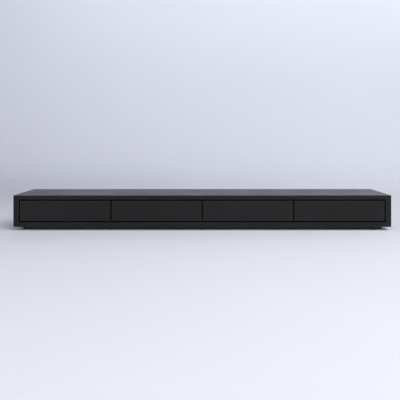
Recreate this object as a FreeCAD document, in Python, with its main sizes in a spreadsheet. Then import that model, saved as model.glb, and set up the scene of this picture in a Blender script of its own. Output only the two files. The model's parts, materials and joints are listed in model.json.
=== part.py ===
"""Low, wide dresser: a black carcass on a set-back plinth, with four handleless drawers in one row.

The frame has its origin on the floor under the middle of the carcass. +X runs to the right as seen from the
front, the drawers open towards -Y and +Z is up. Sizes are millimetres. Each sub-part is written to
parts/LABEL.step.
"""

import FreeCAD, Part

import math
import os

import Sketcher

DRAWERS = 4
VECTOR = FreeCAD.Vector
ROTATION = FreeCAD.Rotation

DIMENSIONS = {
    # Carcass
    "width": 2400,
    "depth": 450,
    "carcass_height": 200,
    "top_thick": 26,
    "bottom_thick": 30,
    "side_thick": 35,
    "divider_thick": 19,
    "edge_round": 0.8,
    # Back board, sunk into rebates in the four outer panels
    "back_thick": 8,
    "back_inset": 3,
    "back_lap": 8,
    # Plinth and its floor glides
    "plinth_height": 22,
    "plinth_setback": 50,
    "plinth_thick": 19,
    "glide_height": 2,
    "glide_radius": 11,
    "glide_chamfer": 0.7,
    "glide_end_gap": 50,
    # Dowels between the uprights and the top and bottom panels
    "dowel_radius": 4,
    "dowel_length": 30,
    "dowel_chamfer": 1,
    "dowel_into_panel": 12,
    "dowel_slack": 0.5,
    "dowel_clearance": 0.05,
    "dowel_spacing": 150,
    # Drawer fronts
    "front_thick": 19,
    "front_gap": 7,
    "press_gap": 4,
    # Drawer boxes
    "box_length": 352,
    "box_height": 100,
    "box_thick": 12,
    "board_round": 1,
    "box_raise": 6,
    "floor_thick": 6,
    "floor_raise": 12,
    "groove_depth": 5,
    # Telescopic slides, three nested steel channels each
    "slide_length": 350,
    "slide_space": 13,
    "steel_thick": 1.2,
    "slide_bend": 1,
    "outer_height": 45,
    "outer_reach": 12,
    "outer_lip": 3.6,
    "middle_height": 35.2,
    "middle_reach": 8,
    "middle_offset": 3.6,
    "inner_height": 25.6,
    "inner_reach": 7,
    "slide_hole_radius": 2.1,
    "slide_hole_first": 34,
    "slide_hole_spacing": 140,
    # Push latches behind the drawers
    "latch_length": 60,
    "latch_width": 34,
    "latch_plate": 3,
    "latch_barrel": 8,
    "latch_axis_height": 12,
    "latch_bore": 4.3,
    "latch_bore_depth": 50,
    "latch_gap": 7,
    "latch_hole_radius": 2,
    "latch_hole_offset": 12.5,
    "plunger_radius": 4,
    "plunger_length": 49,
    "plunger_tip_radius": 5.5,
    "plunger_tip_length": 3,
    "plunger_tip_bevel": 1,
    "plunger_clearance": 0.3,
    # Screws: shank radius, head radius, head height and length under the head
    "fine_shank": 1.6,
    "fine_head": 3.1,
    "fine_head_height": 1.8,
    "slide_screw_length": 10,
    "latch_screw_length": 14,
    "back_screw_length": 20,
    "stout_shank": 2,
    "stout_head": 3.8,
    "stout_head_height": 2.4,
    "front_screw_length": 25,
    "plinth_screw_length": 40,
    "plinth_screw_sink": 3,
    "plinth_hole_radius": 2.4,
    "plinth_sink_radius": 5,
    "front_screw_inset": 60,
    "front_screw_low": 30,
    "front_screw_high": 85,
    "head_bevel": 0.8,
    "slot_width": 0.8,
    "slot_depth": 1,
}

# Derived sizes and places, as expressions of the sheet's cells.
LEFT = "(-dims.width / 2)"
FRONT = "(-dims.depth / 2)"
CARCASS_BOTTOM = "dims.plinth_height"
OPENING_BOTTOM = "(dims.plinth_height + dims.bottom_thick)"
OPENING_HEIGHT = "(dims.carcass_height - dims.top_thick - dims.bottom_thick)"
TOP_UNDERSIDE = "(dims.plinth_height + dims.carcass_height - dims.top_thick)"
COMPARTMENT = f"((dims.width - 2 * dims.side_thick - {DRAWERS - 1} * dims.divider_thick) / {DRAWERS})"
FRONT_WIDTH = f"((dims.width - 2 * dims.side_thick - {DRAWERS + 1} * dims.front_gap) / {DRAWERS})"
FRONT_HEIGHT = f"({OPENING_HEIGHT} - 2 * dims.front_gap)"
BOX_WIDTH = f"({COMPARTMENT} - 2 * dims.slide_space)"
BOX_BOTTOM = f"({OPENING_BOTTOM} + dims.box_raise)"
BOX_FRONT = f"({FRONT} + dims.front_thick)"
BOX_BACK = f"({BOX_FRONT} + dims.box_length)"
SLIDE_FRONT = f"({BOX_BACK} - dims.slide_length)"
SLIDE_MIDDLE_Z = f"({BOX_BOTTOM} + dims.box_height / 2)"
BACK_REBATE = "(dims.back_thick + dims.back_inset)"
GROOVE_INSET = "(dims.box_thick - dims.groove_depth)"
FLOOR_WIDTH = f"({BOX_WIDTH} - 2 * {GROOVE_INSET})"
FLOOR_LENGTH = f"(dims.box_length - 2 * {GROOVE_INSET})"
LATCH_FRONT = f"({BOX_BACK} + dims.latch_gap)"
PLINTH_LEFT = f"({LEFT} + dims.plinth_setback)"
PLINTH_FRONT = f"({FRONT} + dims.plinth_setback)"
PLINTH_BOARD = "(dims.plinth_height - dims.glide_height)"
RAIL_FRONT = f"({PLINTH_FRONT} + dims.plinth_thick)"
RAIL_LENGTH = f"(-2 * {RAIL_FRONT})"

# Turns of pieces that are drawn upright. A screw's point is at its lower end.
UPRIGHT = ROTATION()
HALF_TURN = ROTATION(VECTOR(0, 1, 0), 180)
LAID_BACK = ROTATION(VECTOR(1, 0, 0), -90)
POINT_DOWN = UPRIGHT
POINT_UP = ROTATION(VECTOR(1, 0, 0), 180)
POINT_TO_FRONT = ROTATION(VECTOR(1, 0, 0), -90)
POINT_TO_LEFT = ROTATION(VECTOR(0, 1, 0), 90)
POINT_TO_RIGHT = ROTATION(VECTOR(0, 1, 0), -90)

doc = FreeCAD.newDocument("low_dresser")
sub_parts = []


def make_sheet():
    """The spreadsheet that holds the driving dimensions, one alias for each."""
    sheet = doc.addObject("Spreadsheet::Sheet", "dims")
    for row, (alias, value) in enumerate(DIMENSIONS.items(), 1):
        sheet.set(f"A{row}", alias)
        sheet.set(f"B{row}", str(value))
        sheet.setAlias(f"B{row}", alias)
    doc.recompute()


def bind(item, path, values):
    """Binds the x, y and z of a placement or offset to three expressions."""
    for axis, value in zip("xyz", values):
        item.setExpression(f".{path}.Base.{axis}", value)


def keep(item):
    """Registers an object as a sub-part, named by its Label."""
    sub_parts.append(item)
    return item


def sketch_on(body, role, name, offset=("0", "0", "0")):
    """A sketch on one of the body's own origin planes, moved along the plane's axes by offset."""
    sketch = body.newObject("Sketcher::SketchObject", name)
    origin_plane = next(f for f in body.Origin.OriginFeatures if f.Role == role)
    sketch.AttachmentSupport = [(origin_plane, "")]
    sketch.MapMode = "FlatFace"
    bind(sketch, "AttachmentOffset", offset)
    return sketch


def constrain(sketch, kind, places, start, expression):
    """Adds a dimension to a sketch, first at its drawn value and then bound to an expression."""
    index = sketch.addConstraint(Sketcher.Constraint(kind, *places, start))
    sketch.setExpression(f"Constraints[{index}]", expression)


def rectangle(sketch, size):
    """A rectangle from the sketch's origin towards its +X and +Y."""
    corners = [VECTOR(0, 0), VECTOR(20, 0), VECTOR(20, 10), VECTOR(0, 10)]
    for i in range(4):
        sketch.addGeometry(Part.LineSegment(corners[i], corners[(i + 1) % 4]), False)
    for i in range(4):
        sketch.addConstraint(Sketcher.Constraint("Coincident", i, 2, (i + 1) % 4, 1))
        sketch.addConstraint(Sketcher.Constraint("Vertical" if i % 2 else "Horizontal", i))
    sketch.addConstraint(Sketcher.Constraint("Coincident", 0, 1, -1, 1))
    constrain(sketch, "DistanceX", (0, 1, 0, 2), 20, size[0])
    constrain(sketch, "DistanceY", (1, 1, 1, 2), 10, size[1])


def plate(label, corner, size):
    """A board or block: a sketched rectangle, padded upwards, with its low corner at corner."""
    body = doc.addObject("PartDesign::Body", label)
    outline = sketch_on(body, "XY_Plane", label + "_outline")
    rectangle(outline, size)
    pad = body.newObject("PartDesign::Pad", label + "_pad")
    pad.Profile = outline
    pad.setExpression("Length", size[2])
    bind(body, "Placement", corner)
    return body


def cut(body, name, corner, size):
    """Takes a box out of a body, with corner and size in the body's own frame."""
    top = (corner[0], corner[1], f"{corner[2]} + {size[2]}")
    outline = sketch_on(body, "XY_Plane", f"{body.Name}_{name}_outline", top)
    rectangle(outline, size)
    pocket = body.newObject("PartDesign::Pocket", f"{body.Name}_{name}")
    pocket.Profile = outline
    pocket.setExpression("Length", size[2])


def bore(body, name, role, centres, radius, depth, level="0", along_normal=True):
    """Drills round holes into a body from a plane, level above one of its origin planes."""
    outline = sketch_on(body, role, f"{body.Name}_{name}_circles", ("0", "0", level))
    for i, (x, y) in enumerate(centres):
        outline.addGeometry(Part.Circle(VECTOR(10 + 10 * i, 10), VECTOR(0, 0, 1), 2), False)
        constrain(outline, "DistanceX", (-1, 1, i, 3), 10 + 10 * i, x)
        constrain(outline, "DistanceY", (-1, 1, i, 3), 10, y)
        constrain(outline, "Radius", (i,), 2, radius)
    pocket = body.newObject("PartDesign::Pocket", f"{body.Name}_{name}")
    pocket.Profile = outline
    pocket.Reversed = along_normal
    pocket.setExpression("Length", depth)


def soften(body, radius, touches):
    """Rounds the straight edges of a body whose middle point passes the test touches(point, box)."""
    doc.recompute()
    base = body.Tip
    box = base.Shape.BoundBox
    edges = [
        f"Edge{i}"
        for i, edge in enumerate(base.Shape.Edges, 1)
        if touches(edge.CenterOfMass, box)
    ]
    fillet = body.newObject("PartDesign::Fillet", f"{body.Name}_rounding")
    fillet.Base = (base, edges)
    fillet.setExpression("Radius", radius)


def at(value, limit):
    """True where a coordinate lies on a limit of the box."""
    return abs(value - limit) < 0.01


def turned(label, profile):
    """A turned piece: a closed outline of (radius, height) points, revolved about its own Z axis.

    The outline is drawn as a regular polygon and its dimensions then bring each corner to its point.
    """
    body = doc.addObject("PartDesign::Body", label)
    outline = sketch_on(body, "XZ_Plane", label + "_outline")
    count = len(profile)
    angles = [2 * math.pi * i / count for i in range(count)]
    drawn = [VECTOR(20 + 10 * math.cos(a), 10 * math.sin(a)) for a in angles]
    for i in range(count):
        outline.addGeometry(Part.LineSegment(drawn[i], drawn[(i + 1) % count]), False)
    for i, (radius, height) in enumerate(profile):
        outline.addConstraint(Sketcher.Constraint("Coincident", i, 2, (i + 1) % count, 1))
        constrain(outline, "DistanceX", (-1, 1, i, 1), drawn[i].x, radius)
        constrain(outline, "DistanceY", (-1, 1, i, 1), drawn[i].y, height)
    revolution = body.newObject("PartDesign::Revolution", label + "_turning")
    revolution.Profile = outline
    revolution.ReferenceAxis = (outline, ["V_Axis"])
    revolution.Angle = 360
    return body


def copies(label, *sets):
    """A group of separate solids: for each (master, places), one link for each (x, y, z, rotation)."""
    links = []
    for master, places in sets:
        for x, y, z, rotation in places:
            link = doc.addObject("App::Link", f"{label}_copy_{len(links) + 1}")
            link.LinkedObject = master
            link.Placement = FreeCAD.Placement(VECTOR(0, 0, 0), rotation)
            bind(link, "Placement", (x, y, z))
            links.append(link)
    group = doc.addObject("Part::Compound", label)
    group.Links = links
    return keep(group)


# ---- Carcass ----------------------------------------------------------------------------------------


def uprights():
    """(label, low X, thickness) of the two sides and the dividers, from left to right."""
    found = [("left_side_panel", LEFT, "dims.side_thick")]
    for n, name in enumerate(("divider_left", "divider_middle", "divider_right"), 1):
        low = f"({LEFT} + dims.side_thick + {n} * {COMPARTMENT} + {n - 1} * dims.divider_thick)"
        found.append((name, low, "dims.divider_thick"))
    found.append(("right_side_panel", "(dims.width / 2 - dims.side_thick)", "dims.side_thick"))
    return found


def upright_middles():
    return [f"({low} + {thick} / 2)" for _, low, thick in uprights()]


def dowel_rows():
    """Distances of the three dowels in a joint from the carcass's front plane."""
    return [f"(dims.depth / 2 + {step} * dims.dowel_spacing)" for step in (-1, 0, 1)]


def make_top():
    size = ("dims.width", "dims.depth", "dims.top_thick")
    panel = keep(plate("top_panel", (LEFT, FRONT, TOP_UNDERSIDE), size))
    soften(panel, "dims.edge_round", lambda p, box: at(p.z, box.ZMax) or at(p.z, box.Center.z))
    rebate_and_bore(panel, "0", "0", along_normal=True)


def make_bottom():
    size = ("dims.width", "dims.depth", "dims.bottom_thick")
    panel = keep(plate("bottom_panel", (LEFT, FRONT, CARCASS_BOTTOM), size))
    soften(panel, "dims.edge_round", lambda p, box: at(p.z, box.ZMin) or at(p.z, box.Center.z))
    rebate_and_bore(panel, "(dims.bottom_thick - dims.back_lap)", "dims.bottom_thick", along_normal=False)


def rebate_and_bore(panel, rebate_level, bore_level, along_normal):
    """The rebate for the back board and the dowel holes, in the inner face of the top or bottom panel."""
    start = "(dims.side_thick - dims.back_lap)"
    corner = (start, f"(dims.depth - {BACK_REBATE})", rebate_level)
    cut(panel, "rebate", corner, (f"(dims.width - 2 * {start})", BACK_REBATE, "dims.back_lap"))
    centres = [(f"({x} - {LEFT})", y) for x in upright_middles() for y in dowel_rows()]
    depth = "(dims.dowel_into_panel + dims.dowel_slack)"
    bore(panel, "dowel_holes", "XY_Plane", centres, "dims.dowel_radius", depth, bore_level, along_normal)


def make_side(label, low, thick, is_left):
    """A side panel, with its outer and front corners rounded and its back inner corner rebated."""
    panel = keep(plate(label, (low, FRONT, OPENING_BOTTOM), (thick, "dims.depth", OPENING_HEIGHT)))

    def is_outer_corner(p, box):
        outside = box.XMin if is_left else box.XMax
        return at(p.z, box.Center.z) and (at(p.y, box.YMin) or at(p.x, outside))

    soften(panel, "dims.edge_round", is_outer_corner)
    corner = (f"({thick} - dims.back_lap)" if is_left else "0", f"(dims.depth - {BACK_REBATE})", "0")
    cut(panel, "rebate", corner, ("dims.back_lap", BACK_REBATE, OPENING_HEIGHT))
    bore_upright(panel, thick, "0")


def make_divider(label, low, thick):
    """A divider, which stops short of the drawer fronts and of the back board."""
    setback = "(dims.front_thick + dims.press_gap)"
    size = (thick, f"(dims.depth - {setback} - {BACK_REBATE})", OPENING_HEIGHT)
    panel = keep(plate(label, (low, f"({FRONT} + {setback})", OPENING_BOTTOM), size))
    soften(panel, "dims.edge_round", lambda p, box: at(p.z, box.Center.z) and at(p.y, box.YMin))
    bore_upright(panel, thick, setback)


def bore_upright(panel, thick, setback):
    """The dowel holes in both ends of a side panel or a divider."""
    centres = [(f"({thick} / 2)", f"({y} - {setback})") for y in dowel_rows()]
    depth = "(dims.dowel_length - dims.dowel_into_panel + dims.dowel_slack)"
    bore(panel, "lower_holes", "XY_Plane", centres, "dims.dowel_radius", depth)
    bore(panel, "upper_holes", "XY_Plane", centres, "dims.dowel_radius", depth, OPENING_HEIGHT, False)


def make_uprights():
    left, *dividers, right = uprights()
    make_side(*left, is_left=True)
    make_side(*right, is_left=False)
    for divider in dividers:
        make_divider(*divider)


def carcass_dowel_places():
    levels = (
        f"({OPENING_BOTTOM} - dims.dowel_into_panel)",
        f"({TOP_UNDERSIDE} + dims.dowel_into_panel - dims.dowel_length)",
    )
    return [
        (x, f"({FRONT} + {y})", z, UPRIGHT)
        for x in upright_middles()
        for y in dowel_rows()
        for z in levels
    ]


def plinth_dowel_places():
    z = f"(dims.glide_height + {PLINTH_BOARD} / 2)"
    front = f"({RAIL_FRONT} - dims.dowel_into_panel)"
    back = f"({RAIL_FRONT} + {RAIL_LENGTH} + dims.dowel_into_panel - dims.dowel_length)"
    return [(x, y, z, LAID_BACK) for x in plinth_rail_columns() for y in (front, back)]


def make_dowels():
    """Every dowel of the carcass and of the plinth, all alike."""
    radius = "(dims.dowel_radius - dims.dowel_clearance)"
    dowel = turned("dowel", [
        ("0", "0"),
        (f"({radius} - dims.dowel_chamfer)", "0"),
        (radius, "dims.dowel_chamfer"),
        (radius, "(dims.dowel_length - dims.dowel_chamfer)"),
        (f"({radius} - dims.dowel_chamfer)", "dims.dowel_length"),
        ("0", "dims.dowel_length"),
    ])
    copies("dowels", (dowel, carcass_dowel_places() + plinth_dowel_places()))


def make_back():
    """The back board, let into the rebates of the four outer panels."""
    start = f"({LEFT} + dims.side_thick - dims.back_lap)"
    corner = (start, f"(-{FRONT} - {BACK_REBATE})", f"({OPENING_BOTTOM} - dims.back_lap)")
    size = (f"(-2 * {start})", "dims.back_thick", f"({OPENING_HEIGHT} + 2 * dims.back_lap)")
    keep(plate("back_panel", corner, size))


# ---- Plinth -----------------------------------------------------------------------------------------


def plinth_screw_columns():
    """X of the screws that hold the plinth to the carcass."""
    return [f"({step} * {PLINTH_LEFT} / 4)" for step in (-3, -1, 1, 3)]


def plinth_rail_columns():
    """X of the middles of the plinth's ends and cross rails, from left to right."""
    end = f"({PLINTH_LEFT} + dims.plinth_thick / 2)"
    return [end, *upright_middles()[1:-1], f"(-{end})"]


def bore_plinth_dowels(board, columns, depth, level, along_normal):
    """Dowel holes in an upright face of a plinth board, at half its height."""
    centres = [(x, f"({PLINTH_BOARD} / 2)") for x in columns]
    name = "holes_towards_front" if along_normal else "holes_towards_back"
    bore(board, name, "XZ_Plane", centres, "dims.dowel_radius", depth, level, along_normal)


def make_long_plinth_board(label, y, is_front):
    """The front or back of the plinth, with dowel holes, and sunk holes for the screws into the carcass."""
    size = (f"(-2 * {PLINTH_LEFT})", "dims.plinth_thick", PLINTH_BOARD)
    board = keep(plate(label, (PLINTH_LEFT, y, "dims.glide_height"), size))
    soften(board, "dims.edge_round", lambda p, box: at(p.z, box.ZMin))
    centres = [(f"({x} - {PLINTH_LEFT})", "(dims.plinth_thick / 2)") for x in plinth_screw_columns()]
    bore(board, "screw_holes", "XY_Plane", centres, "dims.plinth_hole_radius", PLINTH_BOARD)
    bore(board, "head_sinks", "XY_Plane", centres, "dims.plinth_sink_radius", "dims.plinth_screw_sink")
    columns = [f"({x} - {PLINTH_LEFT})" for x in plinth_rail_columns()]
    inner_face = "(-dims.plinth_thick)" if is_front else "0"
    bore_plinth_dowels(board, columns, "(dims.dowel_into_panel + dims.dowel_slack)", inner_face, is_front)


def plinth_rail(label, corner):
    """A board across the plinth, with a dowel hole in each end."""
    size = ("dims.plinth_thick", RAIL_LENGTH, PLINTH_BOARD)
    rail = plate(label, corner, size)
    soften(rail, "dims.edge_round", lambda p, box: at(p.z, box.ZMin) and at(p.y, box.Center.y))
    middle = ["(dims.plinth_thick / 2)"]
    depth = "(dims.dowel_length - dims.dowel_into_panel + dims.dowel_slack)"
    bore_plinth_dowels(rail, middle, depth, "0", False)
    bore_plinth_dowels(rail, middle, depth, f"(-{RAIL_LENGTH})", True)
    return rail


def make_plinth():
    """A shallow frame of upright boards: a long front and back, two ends and three rails between them."""
    make_long_plinth_board("plinth_front", PLINTH_FRONT, True)
    make_long_plinth_board("plinth_back", f"(-{PLINTH_FRONT} - dims.plinth_thick)", False)
    left, *middles, right = [f"({x} - dims.plinth_thick / 2)" for x in plinth_rail_columns()]
    keep(plinth_rail("plinth_left_end", (left, RAIL_FRONT, "dims.glide_height")))
    keep(plinth_rail("plinth_right_end", (right, RAIL_FRONT, "dims.glide_height")))
    rail = plinth_rail("plinth_rail", ("0", "0", "0"))
    copies("plinth_cross_rails", (rail, [(x, RAIL_FRONT, "dims.glide_height", UPRIGHT) for x in middles]))


def make_plinth_screws():
    long_screw = screw("plinth_screw", "stout", "dims.plinth_screw_length")
    middle = f"({PLINTH_FRONT} + dims.plinth_thick / 2)"
    seat = "(dims.glide_height + dims.plinth_screw_sink)"
    copies("plinth_screws", (long_screw, [
        (x, y, seat, POINT_UP) for x in plinth_screw_columns() for y in (middle, f"(-{middle})")
    ]))


def make_glides():
    """Round glides under the plinth's front and back, level with its faces."""
    radius = "dims.glide_radius"
    glide = turned("glide", [
        ("0", "0"),
        (f"({radius} - dims.glide_chamfer)", "0"),
        (radius, "dims.glide_chamfer"),
        (radius, "dims.glide_height"),
        ("0", "dims.glide_height"),
    ])
    end = f"({PLINTH_LEFT} + dims.glide_end_gap)"
    columns = [end, *upright_middles()[1:-1], f"(-{end})"]
    row = f"({PLINTH_FRONT} + {radius})"
    copies("floor_glides", (glide, [(x, y, "0", UPRIGHT) for x in columns for y in (row, f"(-{row})")]))


# ---- Screws -----------------------------------------------------------------------------------------


def screw(label, kind, length):
    """A pan-head screw with a crossed slot: its seat is at Z 0, its head above and its point below.

    Its point is a cone as long as the shank is wide.
    """
    shank, head, height = f"dims.{kind}_shank", f"dims.{kind}_head", f"dims.{kind}_head_height"
    body = turned(label, [
        ("0", height),
        (f"({head} - dims.head_bevel)", height),
        (head, f"({height} - dims.head_bevel)"),
        (head, "0"),
        (shank, "0"),
        (shank, f"(2 * {shank} - {length})"),
        ("0", f"(-{length})"),
    ])
    reach, width = f"(2 * {head} - 2 * dims.head_bevel)", "dims.slot_width"
    for name, x, y in (("slot_across", reach, width), ("slot_along", width, reach)):
        corner = (f"(-{x} / 2)", f"(-{y} / 2)", f"({height} - dims.slot_depth)")
        cut(body, name, corner, (x, y, "dims.slot_depth"))
    return body


def back_screw_places():
    """The back board's screws: along its upper and lower edges, at its ends and into the dividers."""
    seat = "(dims.depth / 2 - dims.back_inset)"
    half_lap = "(dims.back_lap / 2)"
    middle = f"({OPENING_BOTTOM} + {OPENING_HEIGHT} / 2)"
    edges = (f"({OPENING_BOTTOM} - {half_lap})", f"({TOP_UNDERSIDE} + {half_lap})")
    end = f"({LEFT} + dims.side_thick - {half_lap})"
    spread = f"({end} + dims.side_thick)"
    rows = [(f"({step} * {spread} / 3)", seat, z, POINT_TO_FRONT) for step in range(-3, 4) for z in edges]
    columns = (end, *upright_middles()[1:-1], f"(-{end})")
    return rows + [(x, seat, middle, POINT_TO_FRONT) for x in columns]


def slide_screw_places(left_face, right_face, towards_left, towards_right):
    """Three screws at each of two walls: seats on the left and right faces, and which way they point."""
    places = []
    for row in slide_hole_rows():
        y = f"({SLIDE_FRONT} + {row})"
        places.append((left_face, y, SLIDE_MIDDLE_Z, towards_left))
        places.append((right_face, y, SLIDE_MIDDLE_Z, towards_right))
    return places


def latch_screw_places():
    seat = f"({OPENING_BOTTOM} + dims.latch_plate)"
    return [
        (f"({compartment_middle(n)} + {x})", f"({LATCH_FRONT} + {y})", seat, POINT_DOWN)
        for n in range(DRAWERS) for x, y in latch_hole_places()
    ]


def make_cabinet_screws(slide_screw):
    """The screws in the carcass: those of the back board, the outer slide channels and the latches."""
    back_screw = screw("back_screw", "fine", "dims.back_screw_length")
    latch_screw = screw("latch_screw", "fine", "dims.latch_screw_length")
    slide_places = []
    for n in range(DRAWERS):
        left_face = f"({compartment_left(n)} + dims.steel_thick)"
        right_face = f"({compartment_left(n)} + {COMPARTMENT} - dims.steel_thick)"
        slide_places += slide_screw_places(left_face, right_face, POINT_TO_LEFT, POINT_TO_RIGHT)
    copies(
        "cabinet_screws",
        (back_screw, back_screw_places()),
        (slide_screw, slide_places),
        (latch_screw, latch_screw_places()),
    )


# ---- Slides and push latches ------------------------------------------------------------------------


def compartment_left(n):
    return f"({LEFT} + dims.side_thick + {n} * ({COMPARTMENT} + dims.divider_thick))"


def compartment_middle(n):
    return f"({compartment_left(n)} + {COMPARTMENT} / 2)"


def slide_hole_rows():
    return [f"(dims.slide_hole_first + {step} * dims.slide_hole_spacing)" for step in range(3)]


def channel(label, height, reach, lip):
    """A rolled steel channel along Y: its web on the YZ plane and its open side towards +X.

    The lip is how far its flanges reach round the open side, and is one thickness where there is none.
    """
    steel = "dims.steel_thick"
    body = plate(label, ("0", "0", "0"), (reach, "dims.slide_length", height))
    soften(body, "dims.slide_bend", lambda p, box: at(p.y, box.Center.y))
    size = (f"({reach} - 2 * {steel})", "dims.slide_length", f"({height} - 2 * {steel})")
    cut(body, "cavity", (steel, "0", steel), size)
    size = (steel, "dims.slide_length", f"({height} - 2 * {lip})")
    cut(body, "mouth", (f"({reach} - {steel})", "0", lip), size)
    return body


def drill_web(body, height):
    """The screw holes in a channel's web."""
    centres = [(y, f"({height} / 2)") for y in slide_hole_rows()]
    bore(body, "screw_holes", "YZ_Plane", centres, "dims.slide_hole_radius", "dims.steel_thick")


def slide_pair(n, height, offset, opens_inwards):
    """The places of one slide member on the left and right of a drawer, their webs offset from the walls.

    A channel that opens the other way is turned half round about Y, so its origin is at its upper edge.
    """
    left = f"({compartment_left(n)} + {offset})"
    right = f"({compartment_left(n)} + {COMPARTMENT} - {offset})"
    plain = (SLIDE_FRONT, f"({SLIDE_MIDDLE_Z} - {height} / 2)", UPRIGHT)
    turned_round = (SLIDE_FRONT, f"({SLIDE_MIDDLE_Z} + {height} / 2)", HALF_TURN)
    if opens_inwards:
        return [(left, *plain), (right, *turned_round)]
    return [(left, *turned_round), (right, *plain)]


def make_slides():
    """Telescopic slides on both sides of each drawer, of three nested channels.

    The outer channel is on the carcass, the inner one on the drawer box, and the middle one runs between.
    """
    outer = channel("slide_outer", "dims.outer_height", "dims.outer_reach", "dims.outer_lip")
    drill_web(outer, "dims.outer_height")
    middle = channel("slide_middle", "dims.middle_height", "dims.middle_reach", "dims.steel_thick")
    inner = channel("slide_inner", "dims.inner_height", "dims.inner_reach", "dims.steel_thick")
    drill_web(inner, "dims.inner_height")
    outer_places = []
    for n in range(DRAWERS):
        outer_places += slide_pair(n, "dims.outer_height", "0", True)
        middle_places = slide_pair(n, "dims.middle_height", "dims.middle_offset", True)
        inner_places = slide_pair(n, "dims.inner_height", "dims.slide_space", False)
        copies(f"drawer_{n + 1}_slide_middles", (middle, middle_places))
        copies(f"drawer_{n + 1}_slide_inners", (inner, inner_places))
    copies("slide_outers", (outer, outer_places))


def primitive(kind, label, sizes, place, rotation):
    """A Part primitive with its sizes and its place bound to expressions."""
    item = doc.addObject(kind, label)
    for name, value in sizes.items():
        item.setExpression(name, value)
    item.Placement = FreeCAD.Placement(VECTOR(0, 0, 0), rotation)
    bind(item, "Placement", place)
    return item


def latch_hole_places():
    """Centres of the two screw holes in a latch's base, one each side of the barrel."""
    offset, middle = "dims.latch_hole_offset", "(dims.latch_length / 2)"
    return [(offset, middle), (f"(-{offset})", middle)]


def latch_housing():
    """A latch's housing along +Y: its origin is on its base, under the front end of the plunger's axis."""
    axis, barrel, length = "dims.latch_axis_height", "dims.latch_barrel", "dims.latch_length"
    base = {"Length": "dims.latch_width", "Width": length, "Height": "dims.latch_plate"}
    block = {"Length": f"2 * {barrel}", "Width": length, "Height": axis}
    tube = {"Radius": barrel, "Height": length}
    plunger_bore = {"Radius": "dims.latch_bore", "Height": "dims.latch_bore_depth"}
    screw_hole = {"Radius": "dims.latch_hole_radius", "Height": "dims.latch_plate"}
    solid = doc.addObject("Part::MultiFuse", "latch_solid")
    solid.Shapes = [
        primitive("Part::Box", "latch_base", base, ("(-dims.latch_width / 2)", "0", "0"), UPRIGHT),
        primitive("Part::Box", "latch_block", block, (f"(-{barrel})", "0", "0"), UPRIGHT),
        primitive("Part::Cylinder", "latch_tube", tube, ("0", "0", axis), LAID_BACK),
    ]
    holes = doc.addObject("Part::MultiFuse", "latch_holes")
    holes.Shapes = [
        primitive("Part::Cylinder", "latch_plunger_bore", plunger_bore, ("0", "0", axis), LAID_BACK),
        *(primitive("Part::Cylinder", "latch_screw_hole", screw_hole, (*place, "0"), UPRIGHT)
          for place in latch_hole_places()),
    ]
    housing = doc.addObject("Part::Cut", "latch_housing")
    housing.Base = solid
    housing.Tool = holes
    return housing


def make_latches():
    """Push latches on the bottom panel behind the drawers, each with a housing and a sliding plunger."""
    places = [(compartment_middle(n), LATCH_FRONT, OPENING_BOTTOM, UPRIGHT) for n in range(DRAWERS)]
    copies("latch_housings", (latch_housing(), places))
    for n in range(DRAWERS):
        make_plunger(n)


def make_plunger(n):
    """One latch's plunger, a rod with a wider tip just behind the drawer's box."""
    tip, tip_radius = "dims.plunger_tip_length", "dims.plunger_tip_radius"
    plunger = keep(turned(f"latch_{n + 1}_plunger", [
        ("0", "0"),
        (f"({tip_radius} - dims.plunger_tip_bevel)", "0"),
        (tip_radius, "dims.plunger_tip_bevel"),
        (tip_radius, tip),
        ("dims.plunger_radius", tip),
        ("dims.plunger_radius", "dims.plunger_length"),
        ("0", "dims.plunger_length"),
    ]))
    plunger.Placement = FreeCAD.Placement(VECTOR(0, 0, 0), LAID_BACK)
    axis_height = f"({OPENING_BOTTOM} + dims.latch_axis_height)"
    bind(plunger, "Placement", (compartment_middle(n), f"({BOX_BACK} + dims.plunger_clearance)", axis_height))


# ---- Drawers ----------------------------------------------------------------------------------------


def make_front(n):
    left = f"({LEFT} + dims.side_thick + dims.front_gap + {n} * ({FRONT_WIDTH} + dims.front_gap))"
    corner = (left, FRONT, f"({OPENING_BOTTOM} + dims.front_gap)")
    front = keep(plate(f"drawer_{n + 1}_front", corner, (FRONT_WIDTH, "dims.front_thick", FRONT_HEIGHT)))
    soften(front, "dims.edge_round", lambda p, box: True)


def make_box_side(label, left, inner_face):
    """A box side: rebates at both ends take the box front and back, and a groove takes the floor.

    All three are cut groove_depth into the inner face, and start at X inner_face.
    """
    size = ("dims.box_thick", "dims.box_length", "dims.box_height")
    board = keep(plate(label, (left, BOX_FRONT, BOX_BOTTOM), size))
    soften(board, "dims.board_round", lambda p, box: at(p.z, box.ZMax))
    rebate = ("dims.groove_depth", "dims.box_thick", "dims.box_height")
    cut(board, "front_rebate", (inner_face, "0", "0"), rebate)
    cut(board, "back_rebate", (inner_face, "(dims.box_length - dims.box_thick)", "0"), rebate)
    groove = ("dims.groove_depth", FLOOR_LENGTH, "dims.floor_thick")
    cut(board, "floor_groove", (inner_face, GROOVE_INSET, "dims.floor_raise"), groove)


def make_box_end(label, left, front, groove_front):
    """The front or back of a box, let into its sides, with a groove for the floor in its inner face."""
    board = keep(plate(label, (left, front, BOX_BOTTOM), (FLOOR_WIDTH, "dims.box_thick", "dims.box_height")))
    soften(board, "dims.board_round", lambda p, box: at(p.z, box.ZMax) and at(p.x, box.Center.x))
    groove = (FLOOR_WIDTH, "dims.groove_depth", "dims.floor_thick")
    cut(board, "floor_groove", ("0", groove_front, "dims.floor_raise"), groove)


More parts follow.
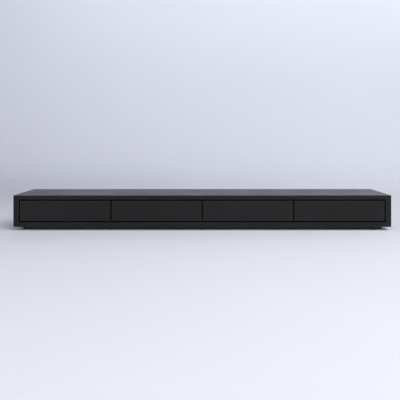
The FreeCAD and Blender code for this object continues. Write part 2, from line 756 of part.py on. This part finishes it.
def make_box(n):
    """A drawer's box. The ends and the floor all reach groove_depth into the boards round them."""
    name = f"drawer_{n + 1}_box_"
    left = f"({compartment_left(n)} + dims.slide_space)"
    inner_left = f"({left} + {GROOVE_INSET})"
    make_box_side(name + "left", left, GROOVE_INSET)
    make_box_side(name + "right", f"({left} + {BOX_WIDTH} - dims.box_thick)", "0")
    make_box_end(name + "front", inner_left, BOX_FRONT, GROOVE_INSET)
    make_box_end(name + "back", inner_left, f"({BOX_BACK} - dims.box_thick)", "0")
    corner = (inner_left, f"({BOX_FRONT} + {GROOVE_INSET})", f"({BOX_BOTTOM} + dims.floor_raise)")
    keep(plate(name + "floor", corner, (FLOOR_WIDTH, FLOOR_LENGTH, "dims.floor_thick")))


def make_drawer_screws(n, slide_screw, front_screw):
    """The screws of one drawer: four from the box into its front, and six in the inner slide channels."""
    left = f"({compartment_left(n)} + dims.slide_space)"
    right = f"({left} + {BOX_WIDTH})"
    columns = (f"({left} + dims.front_screw_inset)", f"({right} - dims.front_screw_inset)")
    levels = (f"({BOX_BOTTOM} + dims.front_screw_low)", f"({BOX_BOTTOM} + dims.front_screw_high)")
    seat = f"({BOX_FRONT} + dims.box_thick)"
    front_places = [(x, seat, z, POINT_TO_FRONT) for x in columns for z in levels]
    left_seat, right_seat = f"({left} - dims.steel_thick)", f"({right} + dims.steel_thick)"
    slide_places = slide_screw_places(left_seat, right_seat, POINT_TO_RIGHT, POINT_TO_LEFT)
    copies(f"drawer_{n + 1}_screws", (front_screw, front_places), (slide_screw, slide_places))


# ---- Whole object -----------------------------------------------------------------------------------


def build():
    make_sheet()
    make_top()
    make_bottom()
    make_uprights()
    make_dowels()
    make_back()
    make_plinth()
    make_plinth_screws()
    make_glides()
    make_slides()
    make_latches()
    slide_screw = screw("slide_screw", "fine", "dims.slide_screw_length")
    front_screw = screw("front_screw", "stout", "dims.front_screw_length")
    make_cabinet_screws(slide_screw)
    for n in range(DRAWERS):
        make_front(n)
        make_box(n)
        make_drawer_screws(n, slide_screw, front_screw)


def export():
    """Stops if any object failed, and otherwise writes each sub-part as STEP."""
    doc.recompute()
    failed = [item.Label for item in doc.Objects if {"Invalid", "Error"} & set(item.State)]
    failed += [item.Label for item in sub_parts if item.Shape.isNull() or not item.Shape.isValid()]
    if failed:
        raise RuntimeError(f"these objects failed: {failed}")
    os.makedirs("parts", exist_ok=True)
    for item in sub_parts:
        item.Shape.exportStep(f"parts/{item.Label}.step")


build()
export()
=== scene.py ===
"""The low black dresser in a pale studio: materials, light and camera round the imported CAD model.

Everything is in metres, in the model's frame: +X to the right, the drawers open towards -Y, +Z up.
"""

import json
import math

import bpy
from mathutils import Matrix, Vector


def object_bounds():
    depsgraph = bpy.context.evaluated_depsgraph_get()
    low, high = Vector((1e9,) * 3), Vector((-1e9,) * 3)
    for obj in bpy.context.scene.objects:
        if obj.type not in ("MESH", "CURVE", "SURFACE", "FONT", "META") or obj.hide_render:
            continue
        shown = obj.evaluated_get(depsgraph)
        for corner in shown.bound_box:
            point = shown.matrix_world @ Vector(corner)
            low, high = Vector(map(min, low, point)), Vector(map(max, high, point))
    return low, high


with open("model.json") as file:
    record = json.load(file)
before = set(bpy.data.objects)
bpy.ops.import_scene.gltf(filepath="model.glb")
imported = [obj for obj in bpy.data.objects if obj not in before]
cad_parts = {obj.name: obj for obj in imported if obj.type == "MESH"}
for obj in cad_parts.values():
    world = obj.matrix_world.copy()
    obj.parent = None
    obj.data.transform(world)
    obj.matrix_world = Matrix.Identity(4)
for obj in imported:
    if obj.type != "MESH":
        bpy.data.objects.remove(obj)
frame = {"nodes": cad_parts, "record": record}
CAD_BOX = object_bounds()

FRONT_Y = CAD_BOX[0].y


# ---- Camera -----------------------------------------------------------------------------------------

CAMERA_DISTANCE = 3.702
CAMERA_HEIGHT = 0.598
LEVEL = math.radians(90)
SENSOR_WIDTH = 36.0
LENS = 52.47
SHIFT_X = -0.0057
SHIFT_Y = -0.1594
NEAR = 0.05
FAR = 100.0


def make_camera():
    """A level camera square to the front. Its shift sets the dresser below the middle of the frame."""
    data = bpy.data.cameras.new("camera")
    data.sensor_width = SENSOR_WIDTH
    data.lens = LENS
    data.shift_x = SHIFT_X
    data.shift_y = SHIFT_Y
    data.clip_start = NEAR
    data.clip_end = FAR
    camera = bpy.data.objects.new("camera", data)
    camera.location = (0.0, FRONT_Y - CAMERA_DISTANCE, CAMERA_HEIGHT)
    camera.rotation_euler = (LEVEL, 0.0, 0.0)
    bpy.context.scene.collection.objects.link(camera)
    bpy.context.scene.camera = camera


# ---- Node graphs ------------------------------------------------------------------------------------

# Cloudy noise hardly ever leaves these limits.
CLOUD_LIMITS = (0.3, 0.7)


def shade(colour, factor):
    """A colour made darker or lighter."""
    return tuple(factor * channel for channel in colour)


class Graph:
    """A material's node tree with one Principled shader, and short calls that add and link nodes."""

    def __init__(self, name, metallic=0.0, specular=0.5):
        self.material = bpy.data.materials.new(name)
        self.material.use_nodes = True
        self.tree = self.material.node_tree
        self.shader = self.tree.nodes["Principled BSDF"]
        self.shader.inputs["Metallic"].default_value = metallic
        self.shader.inputs["Specular IOR Level"].default_value = specular
        self.place = self.add("ShaderNodeTexCoord").outputs["Object"]

    def add(self, kind, settings=None, **inputs):
        """A new node with its settings, and its inputs set to values or linked to other nodes' outputs."""
        node = self.tree.nodes.new(kind)
        for key, value in (settings or {}).items():
            setattr(node, key, value)
        for key, value in inputs.items():
            self.feed(node.inputs[key], value)
        return node

    def feed(self, socket, value):
        if isinstance(value, bpy.types.NodeSocket):
            self.tree.links.new(value, socket)
        else:
            socket.default_value = value

    def stretched(self, scale):
        """The place on the object, scaled along X, Y and Z."""
        return self.add("ShaderNodeMapping", Vector=self.place, Scale=scale).outputs["Vector"]

    def noise(self, density, detail=2.0, roughness=0.5, place=None):
        """Cloudy noise from 0 to 1, with that many features to a metre."""
        node = self.add("ShaderNodeTexNoise", Vector=place or self.place, Scale=density, Detail=detail,
                        Roughness=roughness)
        return node.outputs["Fac"]

    def streaks(self, axis, across, along, detail=2.0):
        """Noise drawn out along one axis, with that many features to a metre across it and along it."""
        scale = [across] * 3
        scale[axis] = along
        return self.noise(1.0, detail, place=self.stretched(scale))

    def specks(self, spacing, size):
        """0 nearly everywhere, rising to 1 in small round specks."""
        node = self.add("ShaderNodeTexVoronoi", Vector=self.place, Scale=1.0 / spacing)
        return self.spread(node.outputs["Distance"], low=1.0, high=0.0, between=(0.0, size / spacing))

    def spread(self, value, low, high, between=CLOUD_LIMITS):
        """A value between two limits, mapped to low at the first and high at the second."""
        node = self.add("ShaderNodeMapRange", Value=value)
        for key, number in zip(("From Min", "From Max", "To Min", "To Max"), (*between, low, high)):
            node.inputs[key].default_value = number
        return node.outputs["Result"]

    def maths(self, operation, first, second):
        node = self.add("ShaderNodeMath", {"operation": operation})
        self.feed(node.inputs[0], first)
        self.feed(node.inputs[1], second)
        return node.outputs["Value"]

    def mixed(self, *shares):
        """The sum of some values, each times its share, as (value, share) pairs."""
        total = 0.0
        for value, share in shares:
            total = self.maths("ADD", total, self.maths("MULTIPLY", value, share))
        return total

    def tint(self, value, first, last, between=CLOUD_LIMITS):
        """A value between two limits, turned into a colour from first to last."""
        node = self.add("ShaderNodeValToRGB", Fac=value)
        for element, position, colour in zip(node.color_ramp.elements, between, (first, last)):
            element.position = position
            element.color = (*colour, 1.0)
        return node.outputs["Color"]

    def bump(self, height, depth, normal=None):
        """A normal bumped by a height from 0 to 1, which stands for 0 to depth."""
        node = self.add("ShaderNodeBump", Height=height, Distance=depth)
        if normal:
            self.feed(node.inputs["Normal"], normal)
        return node.outputs["Normal"]

    def finish(self, colour, roughness, normal):
        """Feeds the shader, and returns the material."""
        self.feed(self.shader.inputs["Base Color"], colour)
        self.feed(self.shader.inputs["Roughness"], roughness)
        self.feed(self.shader.inputs["Normal"], normal)
        return self.material


# ---- Materials --------------------------------------------------------------------------------------
# Colours are linear. A density is features to a metre. Spacings, sizes and depths are in metres.

ALONG_X, ALONG_Y, ALONG_Z = 0, 1, 2

LACQUER_COLOUR = (0.0112, 0.0106, 0.0108)
LACQUER_SPECULAR = 0.19
# The plinth's colour is the black lacquer made lighter and bluer: painted bounce light from the pale floor,
# in the shade under the overhang.
PLINTH_COLOUR_WITH_PAINTED_BOUNCE = (0.0150, 0.0146, 0.0180)
PLINTH_SPECULAR = 0.45
DUST = 0.05
DUST_ROUGHNESS = 0.3
DUST_TINT = (0.22, 0.18, 1.0, 1.0)
BOARD_COLOUR = (0.0080, 0.0080, 0.0086)
BOARD_SPECULAR = 0.35
DIVIDER_SPECULAR = 0.05
DRAWER_COLOUR = (0.062, 0.062, 0.066)
DRAWER_THREAD = 0.0016
DRAWER_FLOOR_COLOUR = (0.082, 0.082, 0.086)
DRAWER_FLOOR_THREAD = 0.0024
LINEN_SPECULAR = 0.35
LINEN_LIMITS = (0.36, 0.64)
THREAD_LENGTH = 18.0
BEECH_PALE = (0.56, 0.37, 0.20)
BEECH_DARK = (0.40, 0.23, 0.11)
BEECH_SPECULAR = 0.3
SLIDE_COLOUR = (0.40, 0.41, 0.42)
ZINC_BLUE = (0.50, 0.54, 0.60)
ZINC_YELLOW = (0.62, 0.60, 0.52)
PLASTIC_SPECULAR = 0.45
PLASTIC_GLOSS_DRIFT = 0.06
LATCH_COLOUR = (0.085, 0.088, 0.094)
PLUNGER_COLOUR = (0.46, 0.47, 0.48)
GLIDE_COLOUR = (0.011, 0.011, 0.012)


def lacquer(name, colour, specular, dust=0.0):
    """Satin lacquer sprayed on fibreboard: an orange peel, dust nibs, and a cloudy tone and sheen.

    Dust that has settled on it shows as a faint cool haze at a low angle.
    """
    g = Graph(name, specular=specular)
    g.shader.inputs["Sheen Weight"].default_value = dust
    g.shader.inputs["Sheen Roughness"].default_value = DUST_ROUGHNESS
    g.shader.inputs["Sheen Tint"].default_value = DUST_TINT
    cloud = g.noise(density=2.2, detail=3.0)
    mottle = g.noise(density=38.0, detail=3.0)
    grit = g.noise(density=260.0)
    tone = g.mixed((cloud, 0.5), (mottle, 0.25), (grit, 0.25))
    paint = g.tint(tone, shade(colour, 0.80), shade(colour, 1.20), between=(0.35, 0.65))
    sheen = g.mixed((g.noise(density=5.0, detail=4.0), 0.6), (mottle, 0.4))
    roughness = g.spread(sheen, low=0.32, high=0.43)
    peel = g.bump(g.noise(density=300.0), depth=0.00007)
    nibs = g.bump(g.specks(spacing=0.045, size=0.0006), depth=0.00005, normal=peel)
    return g.finish(paint, roughness, nibs)


def black_board(name, specular):
    """Black melamine-faced board: a fine pearl grain that breaks up the sheen."""
    g = Graph(name, specular=specular)
    pearl = g.noise(density=520.0, detail=3.0, roughness=0.6)
    tone = g.mixed((g.noise(density=3.0), 0.4), (g.noise(density=60.0), 0.2), (pearl, 0.4))
    face = g.tint(tone, shade(BOARD_COLOUR, 0.70), shade(BOARD_COLOUR, 1.35))
    roughness = g.spread(pearl, low=0.46, high=0.60)
    return g.finish(face, roughness, g.bump(pearl, depth=0.00010))


def linen_board(name, colour, thread):
    """Board faced with a woven print: crossed threads of uneven thickness, pressed a little into it."""
    g = Graph(name, specular=LINEN_SPECULAR)
    across = 1.0 / thread
    along = across / THREAD_LENGTH
    threads = [g.streaks(axis, across, along) for axis in (ALONG_X, ALONG_Y, ALONG_Z)]
    weave = g.mixed(*((streak, 1.0 / len(threads)) for streak in threads))
    tone = g.mixed((weave, 0.8), (g.noise(density=4.0), 0.2))
    face = g.tint(tone, shade(colour, 0.62), shade(colour, 1.38), between=LINEN_LIMITS)
    roughness = g.spread(weave, low=0.60, high=0.46, between=LINEN_LIMITS)
    return g.finish(face, roughness, g.bump(weave, depth=0.00016))


def beech():
    """Turned beech: long pale and brown grain with short dark flecks."""
    g = Graph("beech", specular=BEECH_SPECULAR)
    grain = g.streaks(ALONG_X, across=420.0, along=22.0, detail=4.0)
    flecks = g.specks(spacing=0.004, size=0.0012)
    tone = g.mixed((grain, 1.0), (flecks, -0.12))
    wood = g.tint(tone, BEECH_DARK, BEECH_PALE)
    roughness = g.spread(grain, low=0.70, high=0.55)
    return g.finish(wood, roughness, g.bump(grain, depth=0.00012))


def slide_steel():
    """Bright plated strip: fine rolling lines along the slide, and a faint drift in the plating."""
    g = Graph("slide_steel", metallic=1.0)
    lines = g.streaks(ALONG_Y, across=700.0, along=6.0, detail=3.0)
    bands = g.streaks(ALONG_Y, across=160.0, along=2.5)
    smear = g.noise(density=22.0, detail=3.0)
    tone = g.mixed((lines, 0.30), (bands, 0.25), (smear, 0.45))
    metal = g.tint(tone, shade(SLIDE_COLOUR, 0.88), shade(SLIDE_COLOUR, 1.10))
    rolled = g.spread(lines, low=0.34, high=0.42)
    smeared = g.spread(smear, low=0.32, high=0.44)
    return g.finish(metal, g.mixed((rolled, 0.5), (smeared, 0.5)), g.bump(lines, depth=0.00003))


def zinc_steel():
    """Plated screws: a thin zinc coat that drifts from bluish to straw, with fine pitting in the heads."""
    g = Graph("zinc_steel", metallic=1.0)
    drift = g.noise(density=160.0)
    pits = g.noise(density=1100.0)
    metal = g.tint(drift, ZINC_BLUE, ZINC_YELLOW)
    return g.finish(metal, g.spread(pits, low=0.24, high=0.38), g.bump(pits, depth=0.00004))


def moulded(name, colour, density, depth, gloss):
    """Moulded plastic with the fine grain of an etched mould, and faint flow clouds."""
    g = Graph(name, specular=PLASTIC_SPECULAR)
    etch = g.noise(density)
    flow = g.noise(density=45.0, detail=3.0)
    tone = g.mixed((flow, 0.6), (etch, 0.4))
    face = g.tint(tone, shade(colour, 0.86), shade(colour, 1.14))
    roughness = g.spread(etch, low=gloss - PLASTIC_GLOSS_DRIFT, high=gloss + PLASTIC_GLOSS_DRIFT)
    return g.finish(face, roughness, g.bump(etch, depth))


# ---- Studio -----------------------------------------------------------------------------------------

COVE_RADIUS = 6.5
COVE_BEND = 1.6
COVE_HEIGHT = 5.5
COVE_SIDES = 96
BEND_STEPS = 16
COVE_COLOUR = (0.80, 0.82, 0.87)
COVE_SHADE = 0.985
COVE_SPECULAR = 0.2
COVE_ROUGHNESS = 0.8


def make_cove():
    """A round studio floor that bends up into a wall, so that it backs the dresser from every side."""
    profile = [(0.0, 0.0)]
    for step in range(BEND_STEPS + 1):
        angle = math.pi / 2 * step / BEND_STEPS
        radius = COVE_RADIUS - COVE_BEND + COVE_BEND * math.sin(angle)
        profile.append((radius, COVE_BEND * (1 - math.cos(angle))))
    profile.append((COVE_RADIUS, COVE_HEIGHT))
    vertices, faces = [], []
    for radius, height in profile:
        for side in range(COVE_SIDES):
            turn = 2 * math.pi * side / COVE_SIDES
            vertices.append((radius * math.cos(turn), radius * math.sin(turn), height))
    for row in range(len(profile) - 1):
        for side in range(COVE_SIDES):
            a = row * COVE_SIDES + side
            b = row * COVE_SIDES + (side + 1) % COVE_SIDES
            faces.append((a, b, b + COVE_SIDES, a + COVE_SIDES))
    mesh = bpy.data.meshes.new("cove")
    mesh.from_pydata(vertices, [], faces)
    mesh.validate()
    mesh.shade_smooth()
    cove = bpy.data.objects.new("cove", mesh)
    bpy.context.scene.collection.objects.link(cove)
    g = Graph("cove_paper", specular=COVE_SPECULAR)
    tone = g.tint(g.noise(density=0.6), shade(COVE_COLOUR, COVE_SHADE), COVE_COLOUR)
    g.feed(g.shader.inputs["Base Color"], tone)
    g.shader.inputs["Roughness"].default_value = COVE_ROUGHNESS
    mesh.materials.append(g.material)


def area_light(name, place, target, size, watts, colour):
    """A soft rectangular light that faces its target, and isn't itself seen."""
    data = bpy.data.lights.new(name, "AREA")
    data.shape = "RECTANGLE"
    data.size, data.size_y = size
    data.energy = watts
    data.color = colour
    light = bpy.data.objects.new(name, data)
    light.location = place
    light.visible_camera = False
    light.rotation_euler = (Vector(target) - Vector(place)).to_track_quat("-Z", "Y").to_euler()
    bpy.context.scene.collection.objects.link(light)


LIGHTS = [
    dict(name="overhead", place=(0.0, -0.8, 5.0), target=(0.0, -0.8, 0.0), size=(4.0, 3.0), watts=66.0,
         colour=(0.95, 0.94, 1.0)),
    dict(name="front_left", place=(-2.8, -4.8, 2.6), target=(-0.6, -0.3, 0.1), size=(2.4, 1.8), watts=52.0,
         colour=(0.99, 0.98, 1.0)),
    dict(name="front_right", place=(2.0, -4.4, 3.8), target=(0.8, -0.3, 0.1), size=(2.4, 2.0), watts=120.0,
         colour=(1.0, 0.975, 0.955)),
    dict(name="right", place=(4.6, -1.2, 4.6), target=(2.6, -1.0, 0.0), size=(2.0, 2.0), watts=100.0,
         colour=(0.98, 0.97, 1.0)),
    dict(name="wall", place=(0.0, 3.0, 4.6), target=(0.4, 6.5, 3.8), size=(5.0, 1.0), watts=75.0,
         colour=(0.955, 0.965, 1.0)),
    dict(name="wall_right", place=(3.4, 2.0, 4.6), target=(4.2, 5.2, 3.4), size=(2.4, 1.2), watts=56.0,
         colour=(0.98, 0.97, 1.0)),
]
AIR_COLOUR = (0.78, 0.82, 0.95, 1.0)
AIR_STRENGTH = 0.02


def make_lights():
    """Soft lights: overhead, two in front, one at the right and two that wash the wall behind."""
    world = bpy.data.worlds.new("studio_air")
    world.use_nodes = True
    background = world.node_tree.nodes["Background"]
    background.inputs["Color"].default_value = AIR_COLOUR
    background.inputs["Strength"].default_value = AIR_STRENGTH
    bpy.context.scene.world = world
    for light in LIGHTS:
        area_light(**light)
    bpy.context.scene.view_settings.view_transform = "Standard"


# ---- Making -----------------------------------------------------------------------------------------

make_camera()
make_cove()
make_lights()
MATERIALS = {
    "black_lacquer": lacquer("black_lacquer", LACQUER_COLOUR, LACQUER_SPECULAR),
    "black_board": black_board("black_board", BOARD_SPECULAR),
    "drawer_board": linen_board("drawer_board", DRAWER_COLOUR, DRAWER_THREAD),
    "drawer_floor": linen_board("drawer_floor", DRAWER_FLOOR_COLOUR, DRAWER_FLOOR_THREAD),
    "beech": beech(),
    "slide_steel": slide_steel(),
    "zinc_steel": zinc_steel(),
    "latch_plastic": moulded("latch_plastic", LATCH_COLOUR, density=800.0, depth=0.00006, gloss=0.5),
    "plunger_plastic": moulded("plunger_plastic", PLUNGER_COLOUR, density=900.0, depth=0.00003, gloss=0.38),
    "glide_plastic": moulded("glide_plastic", GLIDE_COLOUR, density=600.0, depth=0.00010, gloss=0.6),
}
TOP_LACQUER = lacquer("top_lacquer", LACQUER_COLOUR, LACQUER_SPECULAR, DUST)
PAINTED_BOUNCE_PLINTH_LACQUER = lacquer("plinth_lacquer_painted_bounce", PLINTH_COLOUR_WITH_PAINTED_BOUNCE, PLINTH_SPECULAR)
DIVIDER_BOARD = black_board("divider_board", DIVIDER_SPECULAR)
# These nodes look a little different from the rest of their slot. The plinth boards get a lighter, bluer
# copy of the lacquer: painted bounce light from the pale floor.
NODE_MATERIALS = {
    "top_panel": TOP_LACQUER,
    "divider_left": DIVIDER_BOARD,
    "divider_middle": DIVIDER_BOARD,
    "divider_right": DIVIDER_BOARD,
    "plinth_front": PAINTED_BOUNCE_PLINTH_LACQUER,
    "plinth_back": PAINTED_BOUNCE_PLINTH_LACQUER,
    "plinth_left_end": PAINTED_BOUNCE_PLINTH_LACQUER,
    "plinth_right_end": PAINTED_BOUNCE_PLINTH_LACQUER,
}
for part in frame["record"]["subparts"]:
    name = part["node"]
    node = frame["nodes"][name]
    node.data.materials.clear()
    node.data.materials.append(NODE_MATERIALS.get(name) or MATERIALS[part["material_slot"]])
